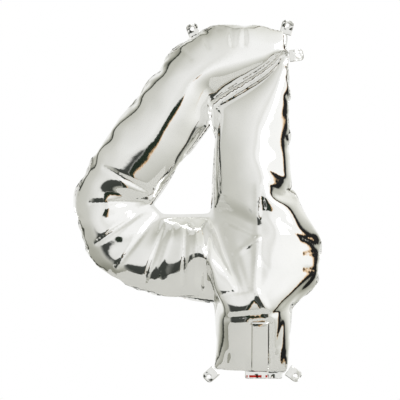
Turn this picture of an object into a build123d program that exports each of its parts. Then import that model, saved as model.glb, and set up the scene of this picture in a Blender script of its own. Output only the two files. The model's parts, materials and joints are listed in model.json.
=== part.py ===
from build123d import *
import os
from math import cos, radians, sin, sqrt

# Foil number balloon, digit four, inflated: two films, their weld, valve, tongue and tabs.
# Millimetres. X to the right seen from the front, Z up, front towards -Y, seam plane Y = 0.
# The origin is the centre of the hole in the top hanging tab.

# Overall sizes, in the drawing frame: X from the stem's axis, Z from the stem's hem.
tube_half = 38.5        # half the width of every tube, seam to seam
tube_depth = tube_half - 0.5    # how far each film stands out; a full tube is all but round
digit_height = 350.0    # hem line to the top of the arm's head
stem_drop = 28.0        # the stem ends this far under the digit's top
head_drop = 20.0        # lower corner of the arm's head, under the digit's top
head_setback = 4.0      # that corner, left of the stem's tip
stub_length = 35.0      # how far the crossbar's stub stands out right of the stem
counter_width = 65.2    # from the stem to the counter's left corner
elbow_round = 6.0       # radius of that corner
elbow_share = 0.466     # height of that corner, as a share of digit_height
arm_lean = 54.5         # slope of the arm from the horizontal, degrees
thin_end = 2.5          # half depth where a tube runs out in its end seam

# Stem near the hem: height, left edge's inset, right edge's bulge, share of tube_depth.
hem_rows = ((16.0, 4.0, -1.0, 0.37), (36.0, 6.0, 1.5, 0.70))
hem_rise = 2.0
hem_inset = 2.0
# Stem below the counter: share of the crossbar's height, then the same three.
stem_rows = ((0.43, 4.0, 0.5, 0.95), (0.76, 0.0, 0.0, 1.0))
# Stem beside the counter: share of the counter's height and of tube_depth.
counter_rows = ((0.4, 1.0), (0.92, 0.94))
# Stem beside the arm, narrowing to its tip: share of the way up and of tube_depth.
tip_rows = ((0.38, 0.62), (0.68, 0.36))
tip_half_depth = 2.0
tip_width = 7.0
# Head of the arm: distance back along it, rise of its top edge, place of its lower edge
# from apex to corner, share of tube_depth.
head_rows = ((0.18, 0.5, 0.82, 0.36), (0.67, 3.0, 0.56, 0.70), (1.26, -9.0, 0.27, 0.95))
head_end = (1.0, 14.0)  # head's end seam, from its lower corner
# Straight arm: share of its length. Then degrees round the elbow.
arm_shares = (0.96, 0.62, 0.3, 0.0)
elbow_turns = (115.0, 140.0, 165.0, 190.0)
# Stub, rounding off: share of the way from left to right, of the half width and of tube_depth.
stub_rows = ((0.56, 0.98, 0.94), (0.78, 0.86, 0.68), (0.93, 0.60, 0.34), (1.0, 0.32, 0.07))

# Film, seam and small parts.
film = 0.5              # wall of each film
flange = 4.0            # width of the welded flange round the seam
web_gap = 6.0           # flat weld between the arm and the stem
seam_bite = 0.5         # share of a film's wall that the weld reaches into
seam_margin = 2.9       # flange left inboard of a tab
hinge_gap = 0.8         # free space at a tab's or the tongue's fold
tab_width = 12.0
tab_length = 12.0       # from the cut in the flange to the tab's end
tab_round = 4.0
tab_hole = 2.0          # hole radius
tab_hole_inset = 5.0    # hole's centre from the tab's end
tongue_width = tube_half - 0.5
tongue_inset = 7.5      # its right end, from the stem's right edge
tongue_centre = tube_half - tongue_inset - tongue_width / 2
tongue_length = 6.0
tongue_round = 2.0
valve_centre = 8.0      # the valve strip lies right of the stem's axis
valve_width = 18.0
valve_bottom = 7.0
valve_top = 52.0
valve_ply = 0.4
valve_seal = 0.1        # depth the front ply is sealed into the front film
valve_gap = 0.3

# Directions along the arm and out of its upper left edge.
along = (cos(radians(arm_lean)), sin(radians(arm_lean)))
outward = (-along[1], along[0])


def shift(point, direction, distance):
    return (point[0] + direction[0] * distance, point[1] + direction[1] * distance)


# The counter's three corners on the seam, and the lower corner of the arm's head.
stem_top = digit_height - stem_drop
stub_reach = tube_half + stub_length
tip_x = stub_reach / 2
elbow_x = -tube_half - counter_width
elbow_z = elbow_share * digit_height
bar_top = elbow_z - elbow_round
arm_foot = shift((elbow_x, elbow_z), outward, elbow_round)
arm_run_length = (-tube_half - arm_foot[0]) / along[0]
apex = shift(arm_foot, along, arm_run_length)
apex_z = apex[1]
head_corner = (tip_x - head_setback, digit_height - head_drop)
head_span = (head_corner[0] - apex[0], head_corner[1] - apex[1])


# Every station is (first edge, second edge, half depth) and lies across its tube.
def stem_stations():
    left = -tube_half
    right = tube_half
    slope = (tip_x - left) / (stem_top - apex_z)
    rows = [((left + hem_inset, hem_rise), (right - hem_inset, hem_rise), thin_end)]
    for z, inset, bulge, depth in hem_rows:
        rows.append(((left + inset, z), (right + bulge, z), depth * tube_depth))
    for share, inset, bulge, depth in stem_rows:
        z = share * bar_top
        rows.append(((left + inset, z), (right + bulge, z), depth * tube_depth))
    for share, depth in counter_rows:
        z = bar_top + share * (apex_z - bar_top)
        rows.append(((left, z), (right - share / 2, z), depth * tube_depth))
    for share, depth in tip_rows:
        rise = share * (stem_top - apex_z)
        edge = (left + web_gap / 2 + rise * slope, apex_z + rise)
        rows.append((edge, (right - 1.0 - share, apex_z + rise), depth * tube_depth))
    tip_left = tip_x + 1.0 - tip_width
    rows.append(((tip_left, stem_top), (tip_x + 1.0, stem_top), tip_half_depth))
    return rows


def arm_stations():
    width = 2 * tube_half
    rows = [(shift(head_corner, head_end, 1.0), head_corner, thin_end)]
    for back, rise, share, depth in head_rows:
        outer = (head_corner[0] - back * head_span[0], digit_height + rise)
        rows.append((outer, shift(apex, head_span, share), depth * tube_depth))
    for share in arm_shares:
        point = shift(arm_foot, along, share * arm_run_length)
        rows.append((shift(point, outward, width), point, tube_depth))
    for angle in elbow_turns:
        turn = (cos(radians(arm_lean + angle)), sin(radians(arm_lean + angle)))
        point = shift((elbow_x, elbow_z), turn, elbow_round)
        rows.append((shift(point, turn, width), point, tube_depth))
    for x in (elbow_x, (elbow_x - tube_half) / 2, -tube_half, tube_half / 2):
        rows.append(((x, bar_top - width), (x, bar_top), tube_depth))
    bar_z = bar_top - tube_half
    for share, half, depth in stub_rows:
        x = tube_half + stub_length * (2 * share - 1)
        half_width = half * tube_half
        rows.append(((x, bar_z - half_width), (x, bar_z + half_width), depth * tube_depth))
    return rows


def middle(station):
    first, second, half_depth = station
    return ((first[0] + second[0]) / 2, (first[1] + second[1]) / 2)


def ends_moved(stations, distance):
    """The same run of stations with both ends brought in along the tube."""
    rows = list(stations)
    for end, neighbour in ((0, 1), (-1, -2)):
        here = middle(stations[end])
        there = middle(stations[neighbour])
        span = sqrt((there[0] - here[0]) ** 2 + (there[1] - here[1]) ** 2)
        inward = ((there[0] - here[0]) / span, (there[1] - here[1]) / span)
        first, second, half_depth = stations[end]
        rows[end] = (shift(first, inward, distance), shift(second, inward, distance), half_depth)
    return rows


def lobe(stations, inset):
    """One inflated tube through lens-shaped sections, its skin moved inward by inset."""
    with BuildPart() as body:
        for station in ends_moved(stations, inset):
            first, second, half_depth = station
            centre = middle(station)
            run = Vector(second[0] - first[0], 0, second[1] - first[1])
            radius = ((run.length / 2) ** 2 + half_depth**2) / (2 * half_depth)
            width = sqrt((radius - inset) ** 2 - (radius - half_depth) ** 2)
            depth = half_depth - inset
            place = Plane(
                origin=(centre[0], 0, centre[1]),
                x_dir=run,
                z_dir=run.cross(Vector(0, 1, 0)),
            )
            with BuildSketch(place):
                with BuildLine():
                    ThreePointArc((-width, 0), (0, depth), (width, 0))
                    ThreePointArc((width, 0), (0, -depth), (-width, 0))
                make_face()
        loft()
    return body.part


# Where each tab leaves the seam, and the way it points, degrees from +X towards +Z.
stem_run = stem_stations()
arm_run = arm_stations()
head_seat = (arm_run[0][0], 75.0)
arm_seat = (arm_run[3][0], 112.0)
stem_seat = (stem_run[-1][1], 8.0)
base_left_seat = (stem_run[0][0], 222.0)
base_right_seat = (stem_run[0][1], -35.0)
tongue_seat = ((tongue_centre, stem_run[0][0][1]), -90.0)


def seat_start(seat):
    """Where the flange is cut for a tab."""
    point, angle = seat
    return shift(point, (cos(radians(angle)), sin(radians(angle))), seam_margin)


def seat_plane(seat):
    """Local X runs out of the seam from the cut in the flange, local Z towards the front."""
    x, z = seat_start(seat)
    angle = radians(seat[1])
    return Plane(origin=(x, 0, z), x_dir=(cos(angle), 0, sin(angle)), z_dir=(0, -1, 0))


def front_half(inset):
    """The front half of the digit, both tubes together."""
    halves = []
    for stations in (arm_run, stem_run):
        with BuildPart() as tube:
            add(lobe(stations, inset))
            split(bisect_by=Plane.XZ, keep=Keep.TOP)
        halves.append(tube.part)
    return halves


# Front film: the front half of both tubes, hollow.
with BuildPart() as front_film:
    add(front_half(0.0))
    add(front_half(film), mode=Mode.SUBTRACT)
front_film.part.label = "front_film"

# Rear film: the same cut, facing the other way.
with BuildPart() as rear_film:
    add(mirror(front_film.part, about=Plane.XZ))
rear_film.part.label = "rear_film"


def outline(stations, margin):
    """Flat outline of a tube, moved out by margin all round."""
    firsts = []
    seconds = []
    for first, second, half_depth in ends_moved(stations, -margin):
        span = sqrt((first[0] - second[0]) ** 2 + (first[1] - second[1]) ** 2)
        side = ((first[0] - second[0]) / span, (first[1] - second[1]) / span)
        firsts.append(shift(first, side, margin))
        seconds.append(shift(second, side, -margin))
    with BuildSketch() as flat:
        with BuildLine():
            Spline(*firsts)
            Line(firsts[-1], seconds[-1])
            Spline(*seconds)
            Line(seconds[0], firsts[0])
        make_face()
    return flat.sketch


# Seam band: both films welded flat round the tubes and between the arm and the stem.
with BuildPart() as seam_band:
    with BuildSketch(Plane.XZ.offset(-film)):
        add(outline(arm_run, flange))
        add(outline(stem_run, flange))
        with BuildLine():
            Polyline(
                shift(apex, (0.0, -1.0), 2.0 * flange),
                (stem_run[-1][0][0], stem_top),
                head_corner,
                shift(apex, along, -3.0 * flange),
                close=True,
            )
        make_face()
        add(outline(arm_run, -film * seam_bite), mode=Mode.SUBTRACT)
        add(outline(stem_run, -film * seam_bite), mode=Mode.SUBTRACT)
        for seat in (head_seat, arm_seat, stem_seat, base_left_seat, base_right_seat):
            with Locations(Location((*seat_start(seat), 0), (0, 0, seat[1]))):
                with Locations((tab_length / 2, 0)):
                    Rectangle(tab_length, tab_width + 2 * hinge_gap, mode=Mode.SUBTRACT)
        with Locations(Location((*seat_start(tongue_seat), 0), (0, 0, tongue_seat[1]))):
            with Locations((tongue_length / 2, 0)):
                Rectangle(tongue_length, tongue_width + 2 * hinge_gap, mode=Mode.SUBTRACT)
    extrude(amount=2 * film)
seam_band.part.label = "seam_band"


def valve_strip(outer_inset, inner_inset):
    """A strip of clear film lying against the inside of the front film."""
    height = valve_top - valve_bottom
    with BuildPart() as strip:
        add(lobe(stem_run, outer_inset))
        add(lobe(stem_run, inner_inset), mode=Mode.SUBTRACT)
        with Locations((valve_centre, -tube_depth / 2 - inner_inset, valve_bottom + height / 2)):
            Box(valve_width, tube_depth, height, mode=Mode.INTERSECT)
    return strip.part


# Self-sealing valve: two plies, the front one sealed to the front film.
front_ply_inner = film - valve_seal + valve_ply
with BuildPart() as valve_front_ply:
    add(valve_strip(film - valve_seal, front_ply_inner))
valve_front_ply.part.label = "valve_front_ply"

with BuildPart() as valve_rear_ply:
    add(valve_strip(front_ply_inner + valve_gap, front_ply_inner + valve_gap + valve_ply))
valve_rear_ply.part.label = "valve_rear_ply"

# Filling tongue: both films, past the hem.
with BuildPart() as filling_tongue:
    with BuildSketch(seat_plane(tongue_seat)) as tongue_plan:
        with Locations(((hinge_gap + tongue_length) / 2, 0)):
            Rectangle(tongue_length - hinge_gap, tongue_width)
        fillet(tongue_plan.vertices().sort_by(Axis.X)[-2:], tongue_round)
    extrude(amount=film, both=True)
filling_tongue.part.label = "filling_tongue"


def hang_tab(seat, gap):
    """A tab of both films with a punched hole."""
    with BuildPart() as tab:
        with BuildSketch(seat_plane(seat)) as tab_plan:
            with Locations(((gap + tab_length) / 2, 0)):
                Rectangle(tab_length - gap, tab_width)
            fillet(tab_plan.vertices().sort_by(Axis.X)[-2:], tab_round)
            with Locations((tab_length - tab_hole_inset, 0)):
                Circle(tab_hole, mode=Mode.SUBTRACT)
        extrude(amount=film, both=True)
    return tab.part


# The head's tab carries the balloon, so it is one with the seam; the others fold.
with BuildPart() as hang_tab_head:
    add(hang_tab(head_seat, 0.0))
hang_tab_head.part.label = "hang_tab_head"

with BuildPart() as hang_tab_arm:
    add(hang_tab(arm_seat, hinge_gap))
hang_tab_arm.part.label = "hang_tab_arm"

with BuildPart() as hang_tab_stem:
    add(hang_tab(stem_seat, hinge_gap))
hang_tab_stem.part.label = "hang_tab_stem"

with BuildPart() as hang_tab_base_left:
    add(hang_tab(base_left_seat, hinge_gap))
hang_tab_base_left.part.label = "hang_tab_base_left"

with BuildPart() as hang_tab_base_right:
    add(hang_tab(base_right_seat, hinge_gap))
hang_tab_base_right.part.label = "hang_tab_base_right"

# Bring the head tab's hole to the origin and write every piece.
hole = seat_plane(head_seat).from_local_coords((tab_length - tab_hole_inset, 0, 0))
home = Location((-hole.X, 0, -hole.Z))
os.makedirs("parts", exist_ok=True)
pieces = (
    front_film,
    rear_film,
    seam_band,
    valve_front_ply,
    valve_rear_ply,
    filling_tongue,
    hang_tab_head,
    hang_tab_arm,
    hang_tab_stem,
    hang_tab_base_left,
    hang_tab_base_right,
)
for piece in pieces:
    placed = piece.part.moved(home)
    placed.label = piece.part.label
    export_step(placed, "parts/" + placed.label + ".step")
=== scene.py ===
import json
import math

import bpy
import numpy as np
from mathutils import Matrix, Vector
from mathutils.geometry import delaunay_2d_cdt

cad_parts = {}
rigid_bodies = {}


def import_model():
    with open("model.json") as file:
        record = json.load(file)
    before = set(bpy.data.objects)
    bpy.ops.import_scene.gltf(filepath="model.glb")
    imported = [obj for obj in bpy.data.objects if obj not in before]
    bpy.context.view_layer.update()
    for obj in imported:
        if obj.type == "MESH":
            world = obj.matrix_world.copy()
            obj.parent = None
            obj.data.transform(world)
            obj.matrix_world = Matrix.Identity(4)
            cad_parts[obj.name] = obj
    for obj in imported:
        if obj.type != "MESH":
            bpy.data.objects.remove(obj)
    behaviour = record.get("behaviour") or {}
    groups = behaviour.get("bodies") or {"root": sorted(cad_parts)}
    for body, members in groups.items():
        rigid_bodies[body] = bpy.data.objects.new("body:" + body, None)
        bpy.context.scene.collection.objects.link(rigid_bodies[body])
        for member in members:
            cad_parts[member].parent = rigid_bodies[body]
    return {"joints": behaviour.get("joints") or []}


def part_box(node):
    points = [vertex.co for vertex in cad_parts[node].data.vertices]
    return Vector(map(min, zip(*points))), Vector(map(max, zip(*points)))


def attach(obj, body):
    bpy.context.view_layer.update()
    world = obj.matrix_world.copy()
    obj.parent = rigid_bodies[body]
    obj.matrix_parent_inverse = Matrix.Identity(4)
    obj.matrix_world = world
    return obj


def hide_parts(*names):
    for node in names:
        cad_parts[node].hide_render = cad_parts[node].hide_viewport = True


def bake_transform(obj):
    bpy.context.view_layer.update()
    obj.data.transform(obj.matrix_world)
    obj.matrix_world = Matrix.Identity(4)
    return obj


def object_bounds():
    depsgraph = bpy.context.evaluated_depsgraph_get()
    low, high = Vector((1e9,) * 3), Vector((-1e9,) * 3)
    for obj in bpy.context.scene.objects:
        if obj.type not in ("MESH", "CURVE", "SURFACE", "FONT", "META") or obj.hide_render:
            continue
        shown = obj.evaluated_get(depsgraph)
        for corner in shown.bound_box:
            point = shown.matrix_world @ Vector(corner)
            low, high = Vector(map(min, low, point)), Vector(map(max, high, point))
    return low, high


for default in list(bpy.data.objects):
    bpy.data.objects.remove(default)
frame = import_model()
cad_box = [list(corner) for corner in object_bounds()]

MM = 0.001

# Drawing frame: X from the stem's axis, Z from the stem's hem, millimetres. The front film's box
# ties it to the row frame: its right end is the stub's, and its lowest edge lies 2 mm up.
STUB_REACH = 73.5
HEM_RISE = 2.0
film_low, film_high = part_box("front_film")
HOME = np.array([film_high[0] / MM - STUB_REACH, 0.0, film_low[2] / MM - HEM_RISE])

# The flat cut of one film, corner by corner: where it lies on the flat sheet, where that corner
# stands once the balloon is full, and how far the corner is rounded. The places on the flat sheet
# in OUTER and COUNTER are the rounded result of a separate fitting program, which moved them
# until the full balloon's seam met the outline. Some full places were moved after that.
OUTER = (
    ((-23.97, -32.68), (-36, 3), 4),
    ((53.82, -23.27), (37, 3), 4),
    ((71.48, 38.02), (40, 66), 12),
    ((90.28, 68.55), (66, 88), 22),
    ((95.56, 120.56), (71, 136), 24),
    ((74.31, 178.20), (40, 186), 14),
    ((62.05, 248.13), (37.5, 250), 60),
    ((37.59, 320.67), (36, 320), 3),
    ((25.71, 339.89), (32, 331), 3),
    ((17.29, 356.71), (28, 346), 5),
    ((-3.75, 360.72), (10, 354), 20),
    ((-49.49, 360.02), (-36, 355), 30),
    ((-95.65, 336.29), (-80, 328), 40),
    ((-152.25, 269.15), (-131, 263), 60),
    ((-195.12, 171.64), (-185, 180), 60),
    ((-175.72, 104.30), (-164, 109), 50),
    ((-147.14, 77.02), (-128, 89), 50),
    ((-109.74, 52.94), (-86, 77), 40),
    ((-62.75, 34.88), (-37, 76), 12),
)
COUNTER = (
    ((-34.95, 253.95), (-38.5, 262), 3),
    ((-41.78, 146.82), (-38.5, 158), 8),
    ((-97.87, 148.10), (-92, 157), 6),
    ((-112.11, 161.28), (-105, 169), 5),
)
WEB = (
    ((-40, 266), None, 1.5), ((36, 338), None, 1.5),
    ((41, 331), None, 1.5), ((-35, 261), None, 1.5),
)
# Pleats and creases of both films once full: start, end, depth inward, half width.
CREASES = (
    ((-150, 208), (-104, 184), 2.0, 2.6), ((-164, 172), (-104, 175), 2.0, 2.4),
    ((-158, 132), (-103, 169), 2.2, 2.4), ((-137, 108), (-96, 161), 2.2, 2.4),
    ((-109, 93), (-86, 155), 2.2, 2.4), ((-98, 92), (-78, 154), -1.0, 2.2),
    ((-70, 90), (-66, 154), 2.2, 2.4), ((-58, 86), (-57, 153), -1.0, 2.2),
    ((-48, 84), (-44, 152), 2.0, 2.6), ((-33, 158), (5, 139), 1.4, 2.6),
    ((5, 190), (5, 137), -1.5, 3.0), ((-16, 121), (5, 137), -1.8, 2.6),
    ((5, 137), (2, 86), -2.4, 3.0), ((-16, 121), (-5, 84), 1.2, 2.6),
    ((-40, 78), (2, 86), 1.3, 2.6), ((2, 86), (19, 57), -1.6, 3.2),
    ((-35, 56), (38, 63), 1.5, 3.0), ((19, 57), (62, 97), 1.2, 2.6),
    ((66, 130), (30, 152), 1.2, 2.6), ((36, 182), (14, 194), 1.0, 2.2),
    ((37, 196), (18, 206), 1.0, 2.2),
    ((-93, 156), (-96, 143), 1.3, 1.7), ((-86, 156), (-88, 145), -1.0, 1.7),
    ((-79, 156), (-80, 141), 1.3, 1.7), ((-72, 156), (-73, 146), -1.0, 1.7),
    ((-62, 156), (-62, 142), 1.3, 1.7), ((-53, 156), (-52, 145), -1.0, 1.7),
    ((-46, 157), (-42, 144), 1.3, 1.7), ((-112, 168), (-122, 160), 1.2, 1.7),
    ((-37, 170), (-26, 168), 1.2, 1.7), ((-37, 182), (-27, 181), -0.9, 1.7),
    ((-1, 8), (-1, 51), 0.9, 1.8), ((19, 8), (18, 52), 1.3, 2.2),
    ((-1, 53), (18, 54), 1.2, 2.0), ((-27, 3), (-25, 20), 1.3, 2.2),
    ((-16, 3), (-17, 17), -1.0, 2.2), ((-7, 3), (-6, 15), 1.3, 2.2),
    ((21, 3), (20, 18), 1.2, 2.2), ((29, 3), (27, 24), -1.0, 2.2),
    ((24, 22), (30, 52), 1.0, 2.4), ((54, 121), (72, 122), 1.6, 2.4),
    ((54, 105), (71, 102), 1.6, 2.4), ((52, 136), (69, 139), 1.4, 2.4),
    ((-20, 333), (-22, 348), 1.0, 2.0), ((-8, 334), (-8, 349), 1.1, 2.0),
    ((-44, 330), (-49, 341), 1.0, 2.0), ((-62, 318), (-70, 328), 1.0, 2.0),
)
MARGIN = 4.0            # welded margin outside the seam
COUNTER_MARGIN = 3.5    # the same inside the counter
FULL_STEP = 4.5
STEP = FULL_STEP
WEB_STEP = 4            # coarsest spacing along the weld between arm and stem
GRID_SEED = 4
GRID_JITTER = 0.12      # share of a step that a grid point is moved by
FRAMES = 60

# Smoothing of the full film: distance from a seam where it starts, and over which it eases in.
TAUT_FROM, TAUT_OVER = 3.0, 11.0
TAUT_ROUNDS = 26
TAUT_FACTORS = (0.6, -0.62)
# The stem's crossing keeps most of its creases: place on the flat cut, reach and share kept.
CROSSING, CROSSING_REACH, CROSSING_KEPT = (12, 88), 34, 0.8

DEPTH = 41.5            # most that either film stands out from the seam plane
SEAM_WAVE = 0.5         # share kept of the seam's waves in depth
SHIFT_ROUNDS = 4
SHIFT_SMOOTH = 12       # length of seam that the shift onto the outline is smoothed over
SHIFT_NEAR = 10.0       # softens the pull of the nearest seam points
SEAT_INSET = 3.8        # how far the seam lies behind the fold of a tab
TAB_PULL, TONGUE_PULL = 14.0, 22.0      # reach of the pull that seats them on the seam
CREASE_FADE = 12.0      # creases fade out where the film is nearer the seam plane than this
WELD_LIFT = 0.15        # half the gap between the two films in the weld

PLATE_THICK, PLATE_STEP = 0.3, 0.9
ROOT_ROUND = 0.4
TAB_HALF = 6.0
TAB_ROOT = -3.4         # start of the tab, in the weld behind the fold
TAB_REACH = 11.2        # from the fold to the tab's end
TAB_HOLE = 6.2          # from the fold to the hole's centre
TAB_HOLE_RADIUS = 2.0
TAB_ROUND = 3.9
HEAD_LEAN = 75          # degrees that the head's tab stands up from level
# Bend of each tab's tip, size of its ripple and the ripple's phase.
CURLS = {
    "tab_arm": (0.5, 5.0, 1.1),
    "tab_stem": (-0.6, 4.4, 2.3),
    "tab_base_left": (-0.12, 1.2, 0.4),
    "tab_base_right": (0.8, 5.0, 3.9),
    "head": (0.4, 4.6, 5.0),
}
TONGUE_HALF = 19
TONGUE_ROOT, TONGUE_END = -3.6, 5.2
TONGUE_ROUND = 1.9
# Printed marks, metres from the tongue's fold: ends of each along it, then height and soft edge.
PRINT_MARKS = ((-0.0150, -0.0020), (0.0016, 0.0040), (-0.0178, -0.0163))
PRINT_LOW, PRINT_HIGH, PRINT_EDGE = -0.0041, -0.0014, 0.0003

PLY_COLUMNS, PLY_ROWS = 13, 31
PLY_THICK = 0.15
PLY_REACH = 5.0         # the ply follows the film averaged over this reach


# ---------------------------------------------------------------- the flat cut
def rounded(corners, radii, step):
    """Closed polyline through rounded corners, sampled evenly."""
    path = []
    count = len(corners)
    for i in range(count):
        before, here, after = (np.array(corners[(i + k) % count], float) for k in (-1, 0, 1))
        a = (before - here) / np.linalg.norm(before - here)
        b = (after - here) / np.linalg.norm(after - here)
        half = math.acos(np.clip(a @ b, -1, 1)) / 2
        reach = radii[i] / math.tan(half)
        centre = here + (a + b) / np.linalg.norm(a + b) * (radii[i] / math.sin(half))
        start, end = here + a * reach - centre, here + b * reach - centre
        first, last = math.atan2(start[1], start[0]), math.atan2(end[1], end[0])
        turn = (last - first + math.pi) % (2 * math.pi) - math.pi
        pieces = max(2, int(abs(turn) * radii[i] / step) + 1)
        for j in range(pieces + 1):
            angle = first + turn * j / pieces
            path.append(centre + radii[i] * np.array([math.cos(angle), math.sin(angle)]))
    path = np.array(path)
    ring = np.vstack([path, path[:1]])
    run = np.concatenate([[0], np.cumsum(np.linalg.norm(np.diff(ring, axis=0), axis=1))])
    total = max(8, int(round(run[-1] / step)))
    at = np.arange(total) * run[-1] / total
    return np.column_stack([np.interp(at, run, ring[:, k]) for k in range(2)])


def inside(points, poly):
    """True where a point lies in the closed polyline."""
    x, y = points[:, 0], points[:, 1]
    found = np.zeros(len(points), bool)
    j = len(poly) - 1
    for i in range(len(poly)):
        crossing = (poly[i, 1] > y) != (poly[j, 1] > y)
        with np.errstate(divide="ignore", invalid="ignore"):
            run, rise = poly[j] - poly[i]
            at = run * (y - poly[i, 1]) / rise + poly[i, 0]
        found ^= crossing & (x < at)
        j = i
    return found


def distance(points, poly):
    """Distance of each point from the closed polyline."""
    best = np.full(len(points), 1e9)
    for p, q in zip(poly, np.roll(poly, -1, 0)):
        run = q - p
        t = np.clip(((points - p) @ run) / (run @ run), 0, 1)
        best = np.minimum(best, np.linalg.norm(points - p - t[:, None] * run, axis=1))
    return best


def offset(poly, reach):
    """The closed polyline moved out by reach, its corners eased."""
    after, before = np.roll(poly, -1, 0), np.roll(poly, 1, 0)
    tangent = after - before
    tangent /= np.linalg.norm(tangent, axis=1)[:, None]
    normal = np.stack([tangent[:, 1], -tangent[:, 0]], 1)
    area = 0.5 * (poly[:, 0] * after[:, 1] - after[:, 0] * poly[:, 1]).sum()
    moved = poly + normal * reach * np.sign(area)
    for _ in range(6):
        eased = 0.5 * moved + 0.25 * (np.roll(moved, 1, 0) + np.roll(moved, -1, 0))
        close = distance(moved, poly) < abs(reach) * 0.93
        moved[close] = eased[close]
    return moved


def outline(corners, step, full=False):
    """A table's loop, on the flat sheet or as it stands once full."""
    return rounded([c[1] if full else c[0] for c in corners], [c[2] for c in corners], step)


def triangulated(loops, grid):
    """Points and triangles over the loops and the grid, with the loops kept as edges."""
    points, edges = [], []
    for loop in loops:
        first, count = len(points), len(loop)
        points += [tuple(p) for p in loop]
        edges += [(first + i, first + (i + 1) % count) for i in range(count)]
    points += [tuple(p) for p in grid]
    made = delaunay_2d_cdt([Vector(p) for p in points], edges, [], 0, 1e-5)
    return np.array([tuple(v) for v in made[0]]), np.array([tuple(f) for f in made[2]])


def cut_films(step):
    """Two flat films that share their weld.

    Gives their points, the front's faces, the rear's faces, which faces are weld, and the area
    and size of one film.
    """
    outer, hole = outline(OUTER, step), outline(COUNTER, step)
    web = outline(WEB, min(step, WEB_STEP))
    edge, hole_edge = offset(outer, MARGIN), offset(hole, -COUNTER_MARGIN)
    rng = np.random.default_rng(GRID_SEED)
    low, high = outer.min(0) - step, outer.max(0) + step
    rows = []
    z = low[1]
    while z < high[1]:
        xs = np.arange(low[0] + (0.5 * step if len(rows) % 2 else 0), high[0], step)
        rows.append(np.column_stack([xs, np.full(len(xs), z)]))
        z += step * math.sqrt(3) / 2
    grid = np.vstack(rows)
    grid += rng.uniform(-GRID_JITTER, GRID_JITTER, grid.shape) * step
    keep = inside(grid, outer) & ~inside(grid, hole) & ~inside(grid, web)
    for poly in (outer, hole, web):
        keep &= distance(grid, poly) > 0.6 * step
    flat, tris = triangulated((outer, hole, web, edge, hole_edge), grid[keep])
    centre = flat[tris].mean(1)
    weld = inside(centre, web) | ~inside(centre, outer) | inside(centre, hole)
    ok = inside(centre, edge) & ~inside(centre, hole_edge)
    tris, weld = tris[ok], weld[ok]
    joined = inside(flat, web) | ~inside(flat, outer) | inside(flat, hole)
    for poly in (outer, hole, web):
        joined |= distance(flat, poly) < 0.02
    count = len(flat)
    rear = np.arange(count)
    free = np.where(~joined)[0]
    rear[free] = count + np.arange(len(free))
    verts = np.zeros((count + len(free), 3))
    verts[:count, 0], verts[:count, 2] = flat[:, 0], flat[:, 1]
    verts[:count, 1] = np.where(joined, 0, -1.0)
    verts[count:, 0], verts[count:, 2], verts[count:, 1] = flat[free, 0], flat[free, 1], 1.0
    a, b, c = (flat[tris[:, k]] for k in range(3))
    cross = (b[:, 0] - a[:, 0]) * (c[:, 1] - a[:, 1]) - (b[:, 1] - a[:, 1]) * (c[:, 0] - a[:, 0])
    front = tris.copy()
    front[cross < 0] = front[cross < 0][:, ::-1]
    back = rear[front][:, ::-1]
    used = np.unique(np.vstack([front, back]))
    renumber = -np.ones(len(verts), int)
    renumber[used] = np.arange(len(used))
    size = edge.max(0) - edge.min(0)
    return verts[used], renumber[front], renumber[back], weld, 0.5 * np.abs(cross).sum(), size


# ---------------------------------------------------------------- inflation
def inflate(verts, front, back, weld):
    """Blows the welded films up with the cloth solver and returns their points, millimetres."""
    mesh = bpy.data.meshes.new("inflating")
    mesh.from_pydata((verts * MM).tolist(), [], np.vstack([front, back[~weld]]).tolist())
    mesh.update()
    films = bpy.data.objects.new("inflating", mesh)
    scene = bpy.context.scene
    scene.collection.objects.link(films)
    cloth = films.modifiers.new("cloth", "CLOTH")
    foil = cloth.settings
    foil.quality = 6
    foil.mass = 0.02 * (STEP / 8) ** 2
    foil.air_damping = 1
    foil.tension_stiffness = 60
    foil.compression_stiffness = 5
    foil.shear_stiffness = 24
    foil.bending_stiffness = 0.03
    foil.tension_damping = foil.compression_damping = foil.shear_damping = 5
    foil.bending_damping = 0.5
    foil.use_pressure = True
    foil.uniform_pressure_force = 30
    foil.effector_weights.gravity = 0
    cloth.collision_settings.use_collision = False
    cloth.collision_settings.use_self_collision = False
    cloth.point_cache.frame_start = scene.frame_start = 1
    cloth.point_cache.frame_end = scene.frame_end = FRAMES
    for number in range(1, FRAMES + 1):
        scene.frame_set(number)
    done = films.evaluated_get(bpy.context.evaluated_depsgraph_get())
    out = np.empty(len(verts) * 3, np.float32)
    done.data.vertices.foreach_get("co", out)
    bpy.data.objects.remove(films)
    bpy.data.meshes.remove(mesh)
    scene.frame_set(1)
    return out.reshape(-1, 3).astype(float) / MM


def nearest(points, at):
    """Index of the point nearest to a place."""
    return int(np.argmin(np.linalg.norm(points - np.array(at, float), axis=1)))


def seam_targets(verts, corners, step):
    """Seam points of one loop in order, and where each stands once the balloon is full."""
    flat, full = outline(corners, step), outline(corners, 1.0, full=True)
    marks = [nearest(flat, c[0]) for c in corners]
    stops = [nearest(full, c[1]) for c in corners]
    targets = np.zeros(flat.shape)
    for k in range(len(corners)):
        first, last = marks[k], marks[(k + 1) % len(corners)]
        start, stop = stops[k], stops[(k + 1) % len(corners)]
        count, length = (last - first) % len(flat), (stop - start) % len(full)
        for j in range(count):
            at = start + length * j / max(count, 1)
            low = int(at)
            part = at - low
            targets[(first + j) % len(flat)] = (
                full[low % len(full)] * (1 - part) + full[(low + 1) % len(full)] * part
            )
    seam = np.array([nearest(verts[:, [0, 2]], p) for p in flat])
    return seam, targets


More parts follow.
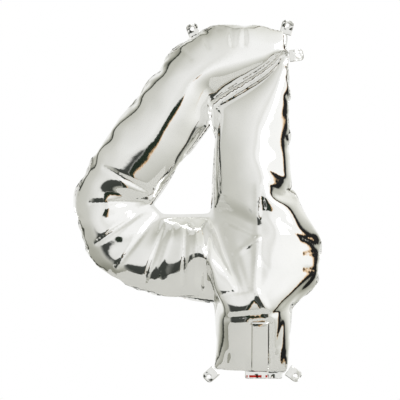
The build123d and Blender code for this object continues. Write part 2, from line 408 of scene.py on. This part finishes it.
def smooth_loop(values, reach):
    """Values round a closed loop, smoothed over reach places."""
    kernel = np.exp(-0.5 * (np.arange(-3 * reach, 3 * reach + 1) / reach) ** 2)
    kernel /= kernel.sum()
    wide = np.vstack([values] * 3)
    columns = [np.convolve(wide[:, k], kernel, "same") for k in range(values.shape[1])]
    return np.column_stack(columns)[len(values):2 * len(values)]


def seats():
    """Where each tab and the tongue leave the seam, and which way they point, from the record."""
    found = {}
    for joint in frame["joints"]:
        if joint["name"].endswith("_fold"):
            body = joint["child"]
            across = np.array(joint["axis"], float)
            pointing = np.array([across[2], 0, -across[0]])
            if body == "tongue":
                pointing, across = np.array([0.0, 0, -1]), np.array([1.0, 0, 0])
            found[body] = (np.array(joint["pos_m"], float) / MM, pointing, across)
    lean = math.radians(HEAD_LEAN)
    pointing = np.array([math.cos(lean), 0, math.sin(lean)])
    found["head"] = (-TAB_HOLE * pointing, pointing, np.array([-pointing[2], 0, pointing[0]]))
    return found


def drawn_taut(verts, points, faces, step):
    """Air draws the film smooth away from the seams; pleats stay beside them."""
    edges = np.vstack([faces[:, [0, 1]], faces[:, [1, 2]], faces[:, [2, 0]]])
    edges = np.unique(np.sort(edges, axis=1), axis=0)
    count = np.bincount(edges.ravel(), minlength=len(points)).clip(1)[:, None]
    flat = verts[:, [0, 2]]
    away = np.full(len(flat), 1e9)
    loops = (outline(OUTER, step), outline(COUNTER, step), outline(WEB, min(step, WEB_STEP)))
    for loop in loops:
        away = np.minimum(away, distance(flat, loop))
    share = np.clip((away - TAUT_FROM) / TAUT_OVER, 0, 1)
    share = share * share * (3 - 2 * share)
    share[verts[:, 1] == 0] = 0
    off_x, off_z = ((flat[:, k] - CROSSING[k]) / CROSSING_REACH for k in range(2))
    share *= 1 - CROSSING_KEPT * np.exp(-(off_x**2 + off_z**2))
    share = share[:, None]
    rounds = round(TAUT_ROUNDS * (FULL_STEP / step) ** 2)
    for factor in TAUT_FACTORS * rounds:
        total = np.zeros(points.shape)
        for k in range(3):
            total[:, k] += np.bincount(edges[:, 0], points[edges[:, 1], k], len(points))
            total[:, k] += np.bincount(edges[:, 1], points[edges[:, 0], k], len(points))
        points = points + factor * share * (total / count - points)
    return points


def shape_films(verts, points, step):
    """Rests the full balloon on its outline: a rigid fit, then a smooth shift keeping the pleats.

    Then sets its depth, and draws the seam to where the tabs and the tongue leave it.
    """
    loops = [seam_targets(verts, corners, step) for corners in (OUTER, COUNTER)]
    picked = np.concatenate([loop[0] for loop in loops])
    wanted = np.concatenate([loop[1] for loop in loops])
    wanted = np.column_stack([wanted[:, 0], np.zeros(len(wanted)), wanted[:, 1]])
    a, b = points[picked].mean(0), wanted.mean(0)
    u, _, vt = np.linalg.svd((points[picked] - a).T @ (wanted - b))
    spin = vt.T @ np.diag([1, 1, np.sign(np.linalg.det(vt.T @ u.T))]) @ u.T
    points = (points - a) @ spin.T + b
    for _ in range(SHIFT_ROUNDS):
        shifts = []
        for seam, targets in loops:
            full = np.column_stack([targets[:, 0], np.zeros(len(seam)), targets[:, 1]])
            shifts.append(smooth_loop(full - points[seam], max(1, round(SHIFT_SMOOTH / step))))
        shifts = np.vstack(shifts)
        gap = np.linalg.norm(points[:, None, :] - points[picked][None], axis=2)
        weight = 1 / (gap**2 + SHIFT_NEAR**2) ** 1.5
        points = points + (weight @ shifts) / weight.sum(1)[:, None]
    points[:, 1] *= DEPTH / np.abs(points[:, 1]).max()
    points[verts[:, 1] == 0, 1] *= SEAM_WAVE
    points = points + HOME
    for name, (foot, pointing, _) in seats().items():
        place = foot - SEAT_INSET * pointing
        seam = points[loops[0][0]]
        pull = place - seam[np.argmin(np.linalg.norm(seam - place, axis=1))]
        reach = TONGUE_PULL if name == "tongue" else TAB_PULL
        share = np.exp(-0.5 * (np.linalg.norm(points - place, axis=1) / reach) ** 2)
        points = points + share[:, None] * pull
    return points


# ---------------------------------------------------------------- materials
def new_material(name, colour, roughness, metallic=1.0):
    """A plain material, with its node tree and its shader."""
    made = bpy.data.materials.new(name)
    made.use_nodes = True
    shader = made.node_tree.nodes["Principled BSDF"]
    shader.inputs["Base Color"].default_value = (*colour, 1)
    shader.inputs["Metallic"].default_value = metallic
    shader.inputs["Roughness"].default_value = roughness
    return made, made.node_tree, shader


def node(tree, kind, **values):
    """A new node, with inputs or properties set by name."""
    made = tree.nodes.new(kind)
    for key, value in values.items():
        if key in made.inputs:
            made.inputs[key].default_value = value
        else:
            setattr(made, key, value)
    return made


def foil_material(name, crinkle, valve=False):
    """Metallised film: mirror bright, faint roll marks, fine crinkles."""
    made, tree, shader = new_material(name, (0.9, 0.9, 0.885), 0.1)
    link = tree.links.new
    place = node(tree, "ShaderNodeTexCoord")
    haze = node(tree, "ShaderNodeTexNoise", Scale=38.0, Detail=3.0)
    link(place.outputs["Object"], haze.inputs["Vector"])
    rough = node(tree, "ShaderNodeMapRange")
    rough.inputs["To Min"].default_value = 0.02
    rough.inputs["To Max"].default_value = 0.09
    link(haze.outputs["Fac"], rough.inputs["Value"])
    link(rough.outputs["Result"], shader.inputs["Roughness"])
    tint = node(tree, "ShaderNodeValToRGB")
    tint.color_ramp.elements[0].color = (0.84, 0.845, 0.83, 1)
    tint.color_ramp.elements[1].color = (0.94, 0.935, 0.92, 1)
    link(haze.outputs["Fac"], tint.inputs["Fac"])
    link(tint.outputs["Color"], shader.inputs["Base Color"])
    fine = node(tree, "ShaderNodeTexNoise", Scale=190.0, Detail=4.0, Roughness=0.55)
    link(place.outputs["Object"], fine.inputs["Vector"])
    soft = node(tree, "ShaderNodeTexNoise", Scale=34.0, Detail=2.0)
    link(place.outputs["Object"], soft.inputs["Vector"])
    low = node(tree, "ShaderNodeBump", Distance=0.0012, Strength=0.2 * crinkle)
    link(soft.outputs["Fac"], low.inputs["Height"])
    bump = node(tree, "ShaderNodeBump", Distance=0.0001, Strength=0.35 * crinkle)
    link(fine.outputs["Fac"], bump.inputs["Height"])
    link(low.outputs["Normal"], bump.inputs["Normal"])
    last = valve_imprint(tree, place, bump) if valve else bump
    link(last.outputs["Normal"], shader.inputs["Normal"])
    return made


def combined(tree, operation, first, second):
    """Two sockets put through a Math node."""
    both = node(tree, "ShaderNodeMath", operation=operation)
    tree.links.new(first, both.inputs[0])
    tree.links.new(second, both.inputs[1])
    return both.outputs[0]


def band_mask(tree, place, axis, low, high, edge):
    """1 between low and high along one object axis, eased over edge."""
    split = node(tree, "ShaderNodeSeparateXYZ")
    tree.links.new(place.outputs["Object"], split.inputs[0])
    out = []
    for start, stop in ((low, low + edge), (high, high - edge)):
        ramp = node(tree, "ShaderNodeMapRange", interpolation_type="SMOOTHSTEP")
        ramp.inputs["From Min"].default_value = start
        ramp.inputs["From Max"].default_value = stop
        tree.links.new(split.outputs[axis], ramp.inputs["Value"])
        out.append(ramp.outputs["Result"])
    return combined(tree, "MULTIPLY", *out)


def patch_mask(tree, place, wide, tall):
    """1 inside a rectangle of the front view, each side given as low, high and soft edge."""
    across = band_mask(tree, place, "X", *wide)
    up = band_mask(tree, place, "Z", *tall)
    return combined(tree, "MULTIPLY", across, up)


def valve_imprint(tree, place, before):
    """The valve strip pressing through the front film, low on the stem."""
    low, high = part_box("valve_front_ply")
    strip = patch_mask(tree, place, (low[0], high[0], 0.0012), (low[2] - 0.01, high[2], 0.0016))
    bump = node(tree, "ShaderNodeBump", Distance=0.001, Strength=1.0)
    tree.links.new(strip, bump.inputs["Height"])
    tree.links.new(before.outputs["Normal"], bump.inputs["Normal"])
    return bump


front_foil = foil_material("foil_front", 1.0, valve=True)
rear_foil = foil_material("foil_rear", 1.0)
weld_foil = foil_material("foil_weld", 2.6)
tab_foil = foil_material("foil_tab", 2.2)


# ---------------------------------------------------------------- pieces
def make_piece(name, verts, faces, materials, marks=None):
    """A mesh piece from millimetre points in the row frame."""
    mesh = bpy.data.meshes.new(name)
    mesh.from_pydata((np.asarray(verts) * MM).tolist(), [], [list(map(int, f)) for f in faces])
    for material in materials:
        mesh.materials.append(material)
    if marks is not None:
        mesh.polygons.foreach_set("material_index", np.asarray(marks, np.int32))
    mesh.polygons.foreach_set("use_smooth", np.ones(len(mesh.polygons), bool))
    mesh.update()
    piece = bpy.data.objects.new(name, mesh)
    bpy.context.scene.collection.objects.link(piece)
    return piece


def apply_modifiers(piece):
    """Turns what the modifiers make of a piece into its own mesh."""
    done = bpy.data.meshes.new_from_object(
        piece.evaluated_get(bpy.context.evaluated_depsgraph_get())
    )
    old = piece.data
    piece.modifiers.clear()
    piece.data = done
    bpy.data.meshes.remove(old)


def creased(mesh):
    """Presses the pleats and creases into the film, towards the seam plane."""
    co = np.empty(len(mesh.vertices) * 3, np.float32)
    mesh.vertices.foreach_get("co", co)
    points = co.reshape(-1, 3).astype(float) / MM
    flat = (points - HOME)[:, [0, 2]]
    press = np.zeros(len(points))
    for start, end, depth, width in CREASES:
        first, run = np.array(start, float), np.array(end, float) - np.array(start, float)
        along = ((flat - first) @ run) / (run @ run)
        t = np.clip(along, 0, 1)
        away = np.linalg.norm(flat - first - t[:, None] * run, axis=1)
        fade = np.sin(np.pi * (0.12 + 0.76 * t)) ** 0.5
        press += depth * fade * np.exp(-((away / width) ** 2))
    outward = np.clip(np.abs(points[:, 1]) / CREASE_FADE, 0, 1)
    points[:, 1] -= np.sign(points[:, 1]) * press * outward
    mesh.vertices.foreach_set("co", (points * MM).astype(np.float32).ravel())
    mesh.update()


def film_piece(name, points, faces, weld, lift, foil):
    """One film with its share of the weld, its margin lifted off the other film's."""
    used = np.unique(faces)
    renumber = -np.ones(len(points), int)
    renumber[used] = np.arange(len(used))
    own = points[used].copy()
    in_weld = np.zeros(len(points), bool)
    in_weld[faces[weld]] = True
    own[:, 1] += np.where(in_weld[used], lift, 0)
    piece = make_piece(name, own, renumber[faces], (foil, weld_foil), weld)
    smooth = piece.modifiers.new("smooth", "SUBSURF")
    smooth.levels = smooth.render_levels = 1
    smooth.boundary_smooth = "PRESERVE_CORNERS"
    apply_modifiers(piece)
    creased(piece.data)
    return piece


flat, front_faces, back_faces, weld_faces, flat_area, flat_size = cut_films(STEP)
shaped = inflate(flat, front_faces, back_faces, weld_faces)
shaped = drawn_taut(flat, shaped, np.vstack([front_faces, back_faces[~weld_faces]]), STEP)
shaped = shape_films(flat, shaped, STEP)

foil_front = film_piece("foil_front", shaped, front_faces, weld_faces, -WELD_LIFT, front_foil)
foil_rear = film_piece("foil_rear", shaped, back_faces, weld_faces, WELD_LIFT, rear_foil)
for film in (foil_front, foil_rear):
    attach(film, "balloon")
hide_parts("front_film", "seam_band")
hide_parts("rear_film")


def strip_rim(root, end, half, radius, step):
    """Rim of a strip from root to end, its outer corners rounded."""
    corners = [(root, -half), (end, -half), (end, half), (root, half)]
    return rounded(corners, [ROOT_ROUND, radius, radius, ROOT_ROUND], step)


def plate(name, rim, hole, bend, material, place):
    """A thin plate of both films, cut from a rim with an optional hole, then bent."""
    step = PLATE_STEP
    low, high = rim.min(0), rim.max(0)
    grid = np.array([
        (x, y)
        for x in np.arange(low[0] + step, high[0], step)
        for y in np.arange(low[1] + step, high[1], step)
    ])
    keep = inside(grid, rim) & (distance(grid, rim) > 0.5 * step)
    loops = [rim]
    if hole is not None:
        keep &= ~inside(grid, hole) & (distance(grid, hole) > 0.5 * step)
        loops.append(hole)
    flat, tris = triangulated(loops, grid[keep])
    centre = flat[tris].mean(1)
    ok = inside(centre, rim)
    if hole is not None:
        ok &= ~inside(centre, hole)
    foot, pointing, across = place
    base = foot + flat[:, :1] * pointing + flat[:, 1:] * across
    piece = make_piece(name, base + bend(flat), tris[ok], (material,))
    thick = piece.modifiers.new("thick", "SOLIDIFY")
    thick.thickness = PLATE_THICK * MM
    thick.offset = 0
    apply_modifiers(piece)
    return piece


def circle(centre, radius, count=28):
    """Closed polyline round a centre."""
    turn = np.linspace(0, 2 * math.pi, count, endpoint=False)
    return np.column_stack([centre[0] + radius * np.cos(turn), centre[1] + radius * np.sin(turn)])


def tab_piece(name, place, curl):
    """A punched hanging tab, curled and rippled towards its end."""
    tip, ripple, phase = curl
    rim = strip_rim(TAB_ROOT, TAB_REACH, TAB_HALF, TAB_ROUND, 0.7)

    def bend(flat):
        out = np.clip(flat[:, 0] / TAB_REACH, 0, 1)
        wave = np.sin(flat[:, 1] * 0.75 + phase)
        wave = wave + 0.5 * np.sin(flat[:, 0] * 1.1 + flat[:, 1] * 0.5 + phase)
        lift = np.zeros((len(flat), 3))
        lift[:, 1] = -(tip * TAB_REACH * 0.5 * out**2 + 0.16 * ripple * wave * out)
        return lift

    hole = circle((TAB_HOLE, 0), TAB_HOLE_RADIUS)
    return plate(name, rim, hole, bend, tab_foil, place)


places = seats()
for body, place in places.items():
    if body == "tongue":
        continue
    key = body.replace("tab_", "")
    tab = tab_piece("foil_tab_" + key, place, CURLS[body])
    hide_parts("hang_tab_" + key)
    if body == "head":
        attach(tab, "balloon")
    else:
        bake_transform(tab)


def print_material():
    """The tongue's foil, with plain printed marks in place of wording."""
    made = foil_material("foil_tongue", 2.5)
    tree = made.node_tree
    shader = tree.nodes["Principled BSDF"]
    place = node(tree, "ShaderNodeTexCoord")
    foot = places["tongue"][0] * MM
    tall = (foot[2] + PRINT_LOW, foot[2] + PRINT_HIGH, PRINT_EDGE)
    total = None
    for low, high in PRINT_MARKS:
        mark = patch_mask(tree, place, (foot[0] + low, foot[0] + high, PRINT_EDGE), tall)
        total = mark if total is None else combined(tree, "ADD", total, mark)
    ink = node(tree, "ShaderNodeMix", data_type="RGBA")
    tree.links.new(total, ink.inputs["Factor"])
    tree.links.new(shader.inputs["Base Color"].links[0].from_socket, ink.inputs["A"])
    ink.inputs["B"].default_value = (0.45, 0.03, 0.02, 1)
    tree.links.new(ink.outputs["Result"], shader.inputs["Base Color"])
    return made


def tongue_bend(flat):
    """Waves along the tongue's free edge."""
    out = np.clip(flat[:, 0] / TONGUE_END, 0, 1)
    lift = np.zeros((len(flat), 3))
    lift[:, 1] = -(0.6 * np.sin(flat[:, 1] * 0.42 + 1.0) + 0.35 * np.sin(flat[:, 1] * 1.05)) * out
    return lift


tongue_rim = strip_rim(TONGUE_ROOT, TONGUE_END, TONGUE_HALF, TONGUE_ROUND, 0.8)
tongue = plate("foil_tongue", tongue_rim, None, tongue_bend, print_material(), places["tongue"])
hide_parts("filling_tongue")
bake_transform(tongue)


def clear_material():
    """Clear film of the valve's plies."""
    made, tree, shader = new_material("valve_film", (0.92, 0.94, 0.94), 0.22, 0.0)
    shader.inputs["Transmission Weight"].default_value = 0.75
    place = node(tree, "ShaderNodeTexCoord")
    grain = node(tree, "ShaderNodeTexNoise", Scale=220.0, Detail=3.0)
    tree.links.new(place.outputs["Object"], grain.inputs["Vector"])
    bump = node(tree, "ShaderNodeBump", Distance=0.0001, Strength=0.6)
    tree.links.new(grain.outputs["Fac"], bump.inputs["Height"])
    tree.links.new(bump.outputs["Normal"], shader.inputs["Normal"])
    return made


valve_foil = clear_material()
film_points = shaped[np.unique(front_faces[~weld_faces])]


def ply(name, node_name, gap):
    """One ply of the valve, inside, lying a gap behind the front film."""
    low, high = (np.array(c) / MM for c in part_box(node_name))
    across, up = PLY_COLUMNS, PLY_ROWS
    xs, zs = np.linspace(low[0], high[0], across), np.linspace(low[2], high[2], up)
    verts = []
    for z in zs:
        for x in xs:
            away = np.hypot(film_points[:, 0] - x, film_points[:, 2] - z)
            share = np.exp(-0.5 * (away / PLY_REACH) ** 2)
            verts.append((x, (share @ film_points[:, 1]) / share.sum() + gap, z))
    faces = [
        (r * across + c, r * across + c + 1, (r + 1) * across + c + 1, (r + 1) * across + c)
        for r in range(up - 1)
        for c in range(across - 1)
    ]
    piece = make_piece(name, verts, faces, (valve_foil,))
    thick = piece.modifiers.new("thick", "SOLIDIFY")
    thick.thickness = PLY_THICK * MM
    apply_modifiers(piece)
    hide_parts(node_name)
    return piece


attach(ply("valve_ply_front", "valve_front_ply", 1.3), "balloon")
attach(ply("valve_ply_rear", "valve_rear_ply", 2.0), "valve_flap")


# ---------------------------------------------------------------- studio
# Walls by direction, degrees right of the camera's side; then by height above the horizon.
WALLS = (
    (-180, (1, 1, 1)), (-135, (0.9, 0.9, 0.88)),
    (-118, (0.5, 0.5, 0.44)), (-110, (0.3, 0.3, 0.26)),
    (-106, (0.04, 0.05, 0.04)), (-101, (0.05, 0.05, 0.04)), (-97, (0.6, 0.6, 0.55)),
    (-62, (0.66, 0.66, 0.62)), (-30, (0.82, 0.82, 0.8)),
    (-6, (0.9, 0.9, 0.89)), (9, (0.84, 0.84, 0.82)),
    (19, (1.0, 1.0, 1.0)), (84, (1.05, 1.05, 1.04)), (87, (0.9, 0.62, 0.36)),
    (90, (0.02, 0.02, 0.02)), (103, (0.02, 0.02, 0.02)), (108, (0.5, 0.5, 0.44)),
    (135, (0.9, 0.9, 0.86)), (180, (1, 1, 1)),
)
HEIGHTS = (
    (-90, (0.2, 0.2, 0.17)), (-60, (0.3, 0.3, 0.25)), (-30, (0.7, 0.7, 0.66)), (-6, (1, 1, 1)),
    (35, (1, 1, 1)), (70, (0.8, 0.8, 0.76)), (90, (0.7, 0.7, 0.66)),
)
# The dark card in front, by direction.
CARD = (
    (0, (0.02, 0.03, 0.02)), (15.5, (0.02, 0.03, 0.02)), (17.0, (0.8, 0.5, 0.25)),
    (18.5, (1, 0.95, 0.9)), (20, (1, 1, 1)),
)
UNDER_COLOUR, UNDER_SHARE = (0.03, 0.035, 0.03), 0.96      # the dark card below it
WHITE = (1.0, 1.0, 1.0)
FLOOR_HALF, FLOOR_DROP = 1.3, 1.3
KEY_PLACE, KEY_AIM = (2.0, -1.9, 1.0), (-0.09, 0, -0.18)
KEY_SIZE, KEY_POWER = 1.4, 14
CAMERA_REACH = 3.0
SENSOR = 36
PICTURE_WIDTH = 0.408                   # metres across the picture at the balloon
PICTURE_CENTRE = (-53.0, 0, 175.4)      # in the drawing frame


def studio_floor():
    """A plain pale floor, well below the hanging balloon."""
    mesh = bpy.data.meshes.new("floor")
    half, drop = FLOOR_HALF, cad_box[0][2] - FLOOR_DROP
    corners = [(-half, -half, drop), (half, -half, drop), (half, half, drop), (-half, half, drop)]
    mesh.from_pydata(corners, [], [(0, 1, 2, 3)])
    floor = bpy.data.objects.new("floor", mesh)
    bpy.context.scene.collection.objects.link(floor)
    pale, _, _ = new_material("floor_pale", (0.86, 0.86, 0.85), 0.7, 0.0)
    mesh.materials.append(pale)


def studio_world():
    """The surroundings that the foil reflects; the background itself is seen as white."""
    world = bpy.data.worlds.new("studio")
    bpy.context.scene.world = world
    world.use_nodes = True
    tree = world.node_tree
    link = tree.links.new
    sky = tree.nodes["Background"]
    place = node(tree, "ShaderNodeTexCoord")
    split = node(tree, "ShaderNodeSeparateXYZ")
    link(place.outputs["Generated"], split.inputs[0])

    def maths(kind, first, second=None):
        made = node(tree, "ShaderNodeMath", operation=kind)
        for socket, value in zip(made.inputs, (first, second)):
            if isinstance(value, float):
                socket.default_value = value
            elif value is not None:
                link(value, socket)
        return made.outputs[0]

    towards = maths("MULTIPLY", split.outputs["Y"], -1.0)
    around = maths("DEGREES", maths("ARCTAN2", split.outputs["X"], towards))
    above = maths("DEGREES", maths("ARCSINE", split.outputs["Z"]))

    def ramp_of(value, low, high, stops):
        ranged = node(tree, "ShaderNodeMapRange")
        ranged.inputs["From Min"].default_value = low
        ranged.inputs["From Max"].default_value = high
        link(value, ranged.inputs["Value"])
        ramp = node(tree, "ShaderNodeValToRGB")
        link(ranged.outputs["Result"], ramp.inputs["Fac"])
        elements = ramp.color_ramp.elements
        elements[0].color, elements[1].color = (*stops[0][1], 1), (*stops[-1][1], 1)
        for at, colour in stops[1:-1]:
            elements.new((at - low) / (high - low)).color = (*colour, 1)
        return ramp.outputs["Color"]

    def window(value, rise, full, ease, fall):
        sides = []
        for start, stop in ((rise, full), (fall, ease)):
            side = node(tree, "ShaderNodeMapRange", interpolation_type="SMOOTHSTEP")
            side.inputs["From Min"].default_value = start
            side.inputs["From Max"].default_value = stop
            link(value, side.inputs["Value"])
            sides.append(side.outputs["Result"])
        return maths("MULTIPLY", *sides)

    def mixed(share, first, second, blend="MIX"):
        made = node(tree, "ShaderNodeMix", data_type="RGBA", blend_type=blend)
        for key, value in (("Factor", share), ("A", first), ("B", second)):
            if isinstance(value, tuple):
                made.inputs[key].default_value = (*value, 1)
            elif isinstance(value, float):
                made.inputs[key].default_value = value
            else:
                link(value, made.inputs[key])
        return made.outputs["Result"]

    walls = ramp_of(around, -180, 180, WALLS)
    height = ramp_of(above, -90, 90, HEIGHTS)
    walls = mixed(1.0, walls, height, "MULTIPLY")
    card = ramp_of(around, 0, 20, CARD)
    beside = window(around, 6.0, 7.5, 17.0, 18.5)
    upright = window(above, -60.0, -45.0, -4.5, -2.5)
    walls = mixed(maths("MULTIPLY", beside, upright), walls, card)
    beside = window(around, -50.0, -30.0, 4.0, 9.0)
    upright = window(above, -48.0, -42.0, -17.0, -12.0)
    under = maths("MULTIPLY", beside, upright)
    walls = mixed(maths("MULTIPLY", under, UNDER_SHARE), walls, UNDER_COLOUR)
    seen = node(tree, "ShaderNodeLightPath")
    walls = mixed(seen.outputs["Is Camera Ray"], walls, WHITE)
    link(walls, sky.inputs["Color"])
    sky.inputs["Strength"].default_value = 1.0


def studio_camera():
    """The key light, and the camera square to the front as in the photograph."""
    lamp = bpy.data.lights.new("key", "AREA")
    lamp.shape, lamp.size, lamp.energy = "SQUARE", KEY_SIZE, KEY_POWER
    key = bpy.data.objects.new("key", lamp)
    bpy.context.scene.collection.objects.link(key)
    key.location = KEY_PLACE
    key.rotation_euler = (Vector(KEY_AIM) - key.location).to_track_quat("-Z", "Y").to_euler()

    lens = bpy.data.cameras.new("camera")
    camera = bpy.data.objects.new("camera", lens)
    bpy.context.scene.collection.objects.link(camera)
    lens.lens = SENSOR * CAMERA_REACH / PICTURE_WIDTH
    lens.clip_end = 50
    centre = (HOME + np.array(PICTURE_CENTRE)) * MM
    camera.location = (centre[0], -CAMERA_REACH, centre[2])
    camera.rotation_euler = (math.pi / 2, 0, 0)
    bpy.context.scene.camera = camera
    bpy.context.scene.view_settings.view_transform = "Standard"


studio_floor()
studio_world()
studio_camera()
